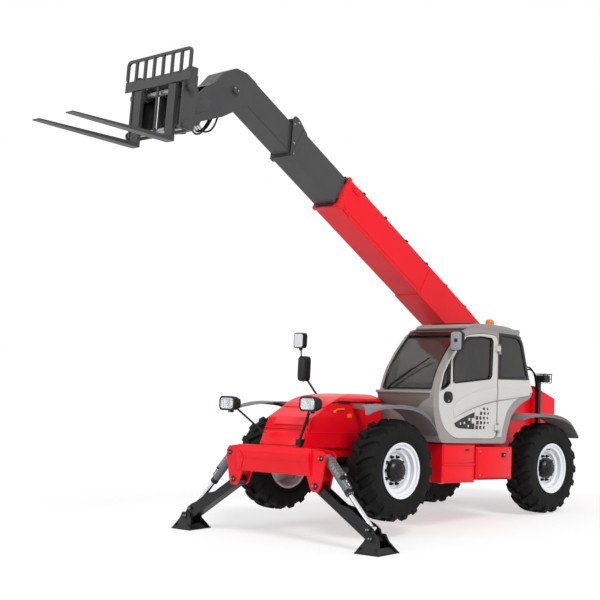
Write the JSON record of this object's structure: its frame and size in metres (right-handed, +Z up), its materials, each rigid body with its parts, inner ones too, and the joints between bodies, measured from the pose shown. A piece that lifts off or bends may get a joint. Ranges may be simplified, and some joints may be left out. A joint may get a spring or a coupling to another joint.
{
  "type": "telehandler",
  "caption": "Telescopic handler with a raised three-section boom, pallet forks, side cab and swing-down front stabilisers, standing on its front feet and rear wheels.",
  "frame": {"origin": "on the ground under the middle of the outline, on the machine's centre line", "axes": "+Z up, -Y is the machine's front, +X is its left side with the cab"},
  "size_m": [3.52, 8.5566, 5.5974],
  "materials": {
    "red_paint": "gloss",
    "charcoal_paint": "satin",
    "black_paint": "satin",
    "cab_grey_paint": "satin",
    "grey_plastic": "matte",
    "tinted_glass": "clear",
    "black_plastic": "matte",
    "seat_fabric": "woven",
    "amber_lens": "clear",
    "bright_steel": "polished",
    "cylinder_grey": "satin",
    "cast_grey": "cast",
    "rim_silver": "satin",
    "tyre_black": "matte"
  },
  "bodies": {
    "chassis": {"chassis_frame": "red_paint", "front_beam": "red_paint", "nose_cover": "red_paint", "engine_housing": "red_paint", "engine_block": "cast_grey", "side_boxes": "red_paint", "rear_weight": "red_paint", "front_axle": "black_paint", "rear_axle": "black_paint", "fenders": "grey_plastic", "cab_shell": "cab_grey_paint", "cab_roof": "grey_plastic", "cab_glass": "tinted_glass", "operator_seat": "seat_fabric", "dash_console": "black_plastic", "beacon": "amber_lens", "headlamps": "black_paint", "mirrors": "black_plastic", "rear_lamps": "black_plastic"},
    "hood": {"engine_hood": "red_paint"},
    "door": {"cab_door": "cab_grey_paint", "door_glass": "tinted_glass"},
    "boom_outer": {"boom_outer": "red_paint"},
    "boom_mid": {"boom_mid": "charcoal_paint"},
    "boom_inner": {"boom_inner": "charcoal_paint"},
    "carriage": {"fork_carriage": "charcoal_paint", "load_backrest": "charcoal_paint", "forks": "charcoal_paint"},
    "tilt_rod": {"tilt_rod": "bright_steel"},
    "lift_barrel": {"lift_barrel": "black_paint"},
    "lift_rod": {"lift_rod": "bright_steel"},
    "leg_left": {"leg_left": "black_paint"},
    "foot_left": {"foot_left": "black_paint"},
    "leg_barrel_left": {"leg_barrel_left": "cylinder_grey"},
    "leg_rod_left": {"leg_rod_left": "bright_steel"},
    "leg_right": {"leg_right": "black_paint"},
    "foot_right": {"foot_right": "black_paint"},
    "leg_barrel_right": {"leg_barrel_right": "cylinder_grey"},
    "leg_rod_right": {"leg_rod_right": "bright_steel"},
    "knuckle_fl": {"knuckle_fl": "black_paint"},
    "wheel_fl": {"rim_fl": "rim_silver", "tyre_fl": "tyre_black"},
    "knuckle_fr": {"knuckle_fr": "black_paint"},
    "wheel_fr": {"rim_fr": "rim_silver", "tyre_fr": "tyre_black"},
    "knuckle_rl": {"knuckle_rl": "black_paint"},
    "wheel_rl": {"rim_rl": "rim_silver", "tyre_rl": "tyre_black"},
    "knuckle_rr": {"knuckle_rr": "black_paint"},
    "wheel_rr": {"rim_rr": "rim_silver", "tyre_rr": "tyre_black"}
  },
  "joints": [
    {"name": "boom_lift", "type": "hinge", "parent": "chassis", "child": "boom_outer", "pos_m": [0, 3.31713, 1.81455], "axis": [-1, 0, 0], "range_deg": [-33.5, 39.2]},
    {"name": "boom_extend", "type": "slide", "parent": "boom_outer", "child": "boom_mid", "axis": [0, -0.8241, 0.5664], "range_m": [-0.8, 2.45]},
    {"name": "boom_extend_inner", "type": "slide", "parent": "boom_mid", "child": "boom_inner", "axis": [0, -0.8241, 0.5664], "range_m": [-0.81, 2.46]},
    {"name": "carriage_tilt", "type": "hinge", "parent": "boom_inner", "child": "carriage", "pos_m": [0, -2.58815, 4.86237], "axis": [1, 0, 0], "range_deg": [-43, 85]},
    {"name": "tilt_rod_slide", "type": "slide", "parent": "boom_inner", "child": "tilt_rod", "axis": [0, -0.9997, -0.0262], "range_m": [-0.25, 0.45]},
    {"name": "lift_cylinder_swing", "type": "hinge", "parent": "chassis", "child": "lift_barrel", "pos_m": [0, 1.7383, 0.644], "axis": [-1, 0, 0], "range_deg": [-6, 6]},
    {"name": "lift_rod_slide", "type": "slide", "parent": "lift_barrel", "child": "lift_rod", "axis": [0, 0.5859, 0.8104], "range_m": [-0.36, 0.42]},
    {"name": "stabiliser_left", "type": "hinge", "parent": "chassis", "child": "leg_left", "pos_m": [0.7, -1.04494, 0.68369], "axis": [0, -0.9979, 0.0645], "range_deg": [0, 95]},
    {"name": "foot_left_swivel", "type": "hinge", "parent": "leg_left", "child": "foot_left", "pos_m": [1.58, -1.07849, 0.165], "axis": [0, -0.9979, 0.0645], "range_deg": [-20, 20]},
    {"name": "stabiliser_left_cylinder", "type": "hinge", "parent": "chassis", "child": "leg_barrel_left", "pos_m": [0.78, -1.02397, 1.00802], "axis": [0, -0.9979, 0.0645], "range_deg": [-1, 130]},
    {"name": "stabiliser_left_rod", "type": "slide", "parent": "leg_barrel_left", "child": "leg_rod_left", "axis": [0.7016, -0.046, -0.7111], "range_m": [-0.55, 0.01]},
    {"name": "stabiliser_right", "type": "hinge", "parent": "chassis", "child": "leg_right", "pos_m": [-0.7, -1.04494, 0.68369], "axis": [0, 0.9979, -0.0645], "range_deg": [0, 95]},
    {"name": "foot_right_swivel", "type": "hinge", "parent": "leg_right", "child": "foot_right", "pos_m": [-1.58, -1.07849, 0.165], "axis": [0, 0.9979, -0.0645], "range_deg": [-20, 20]},
    {"name": "stabiliser_right_cylinder", "type": "hinge", "parent": "chassis", "child": "leg_barrel_right", "pos_m": [-0.78, -1.02397, 1.00802], "axis": [0, 0.9979, -0.0645], "range_deg": [-1, 130]},
    {"name": "stabiliser_right_rod", "type": "slide", "parent": "leg_barrel_right", "child": "leg_rod_right", "axis": [-0.7016, -0.046, -0.7111], "range_m": [-0.55, 0.01]},
    {"name": "steer_front_left", "type": "hinge", "parent": "chassis", "child": "knuckle_fl", "pos_m": [0.72, -0.10449, 0.81528], "axis": [0, 0.0645, 0.9979], "range_deg": [-35, 35]},
    {"name": "wheel_front_left_spin", "type": "hinge", "parent": "knuckle_fl", "child": "wheel_fl", "pos_m": [0.95, -0.10449, 0.81528], "axis": [1, 0, 0], "continuous": true},
    {"name": "steer_front_right", "type": "hinge", "parent": "chassis", "child": "knuckle_fr", "pos_m": [-0.72, -0.10449, 0.81528], "axis": [0, 0.0645, 0.9979], "range_deg": [-35.5, 35.5]},
    {"name": "wheel_front_right_spin", "type": "hinge", "parent": "knuckle_fr", "child": "wheel_fr", "pos_m": [-0.95, -0.10449, 0.81528], "axis": [1, 0, 0], "continuous": true},
    {"name": "steer_rear_left", "type": "hinge", "parent": "chassis", "child": "knuckle_rl", "pos_m": [0.72, 3.03894, 0.612], "axis": [0, 0.0645, 0.9979], "range_deg": [-35, 35]},
    {"name": "wheel_rear_left_spin", "type": "hinge", "parent": "knuckle_rl", "child": "wheel_rl", "pos_m": [0.95, 3.03894, 0.612], "axis": [1, 0, 0], "continuous": true},
    {"name": "steer_rear_right", "type": "hinge", "parent": "chassis", "child": "knuckle_rr", "pos_m": [-0.72, 3.03894, 0.612], "axis": [0, 0.0645, 0.9979], "range_deg": [-35.5, 35.5]},
    {"name": "wheel_rear_right_spin", "type": "hinge", "parent": "knuckle_rr", "child": "wheel_rr", "pos_m": [-0.95, 3.03894, 0.612], "axis": [1, 0, 0], "continuous": true},
    {"name": "cab_door_hinge", "type": "hinge", "parent": "chassis", "child": "door", "pos_m": [1.172, 1.80541, 1.68183], "axis": [0, 0.0645, 0.9979], "range_deg": [0, 80]},
    {"name": "engine_hood_hinge", "type": "hinge", "parent": "chassis", "child": "hood", "pos_m": [-0.315, 1.51356, 1.43014], "axis": [0, 0.9979, -0.0645], "range_deg": [0, 55]}
  ],
  "couplings": [
    {"joint": "boom_extend_inner", "follows": "boom_extend", "ratio": 1},
    {"joint": "tilt_rod_slide", "follows": "carriage_tilt", "m_per_rad": 0.29},
    {"joint": "lift_cylinder_swing", "follows": "boom_lift", "ratio": -0.14},
    {"joint": "lift_rod_slide", "follows": "boom_lift", "m_per_rad": 0.58},
    {"joint": "stabiliser_left_cylinder", "follows": "stabiliser_left", "ratio": 1.1382},
    {"joint": "stabiliser_left_rod", "follows": "stabiliser_left", "m_per_rad": -0.27692},
    {"joint": "stabiliser_right_cylinder", "follows": "stabiliser_right", "ratio": 1.1382},
    {"joint": "stabiliser_right_rod", "follows": "stabiliser_right", "m_per_rad": -0.27692},
    {"joint": "steer_front_right", "follows": "steer_front_left", "ratio": 1},
    {"joint": "steer_rear_right", "follows": "steer_rear_left", "ratio": 1}
  ]
}
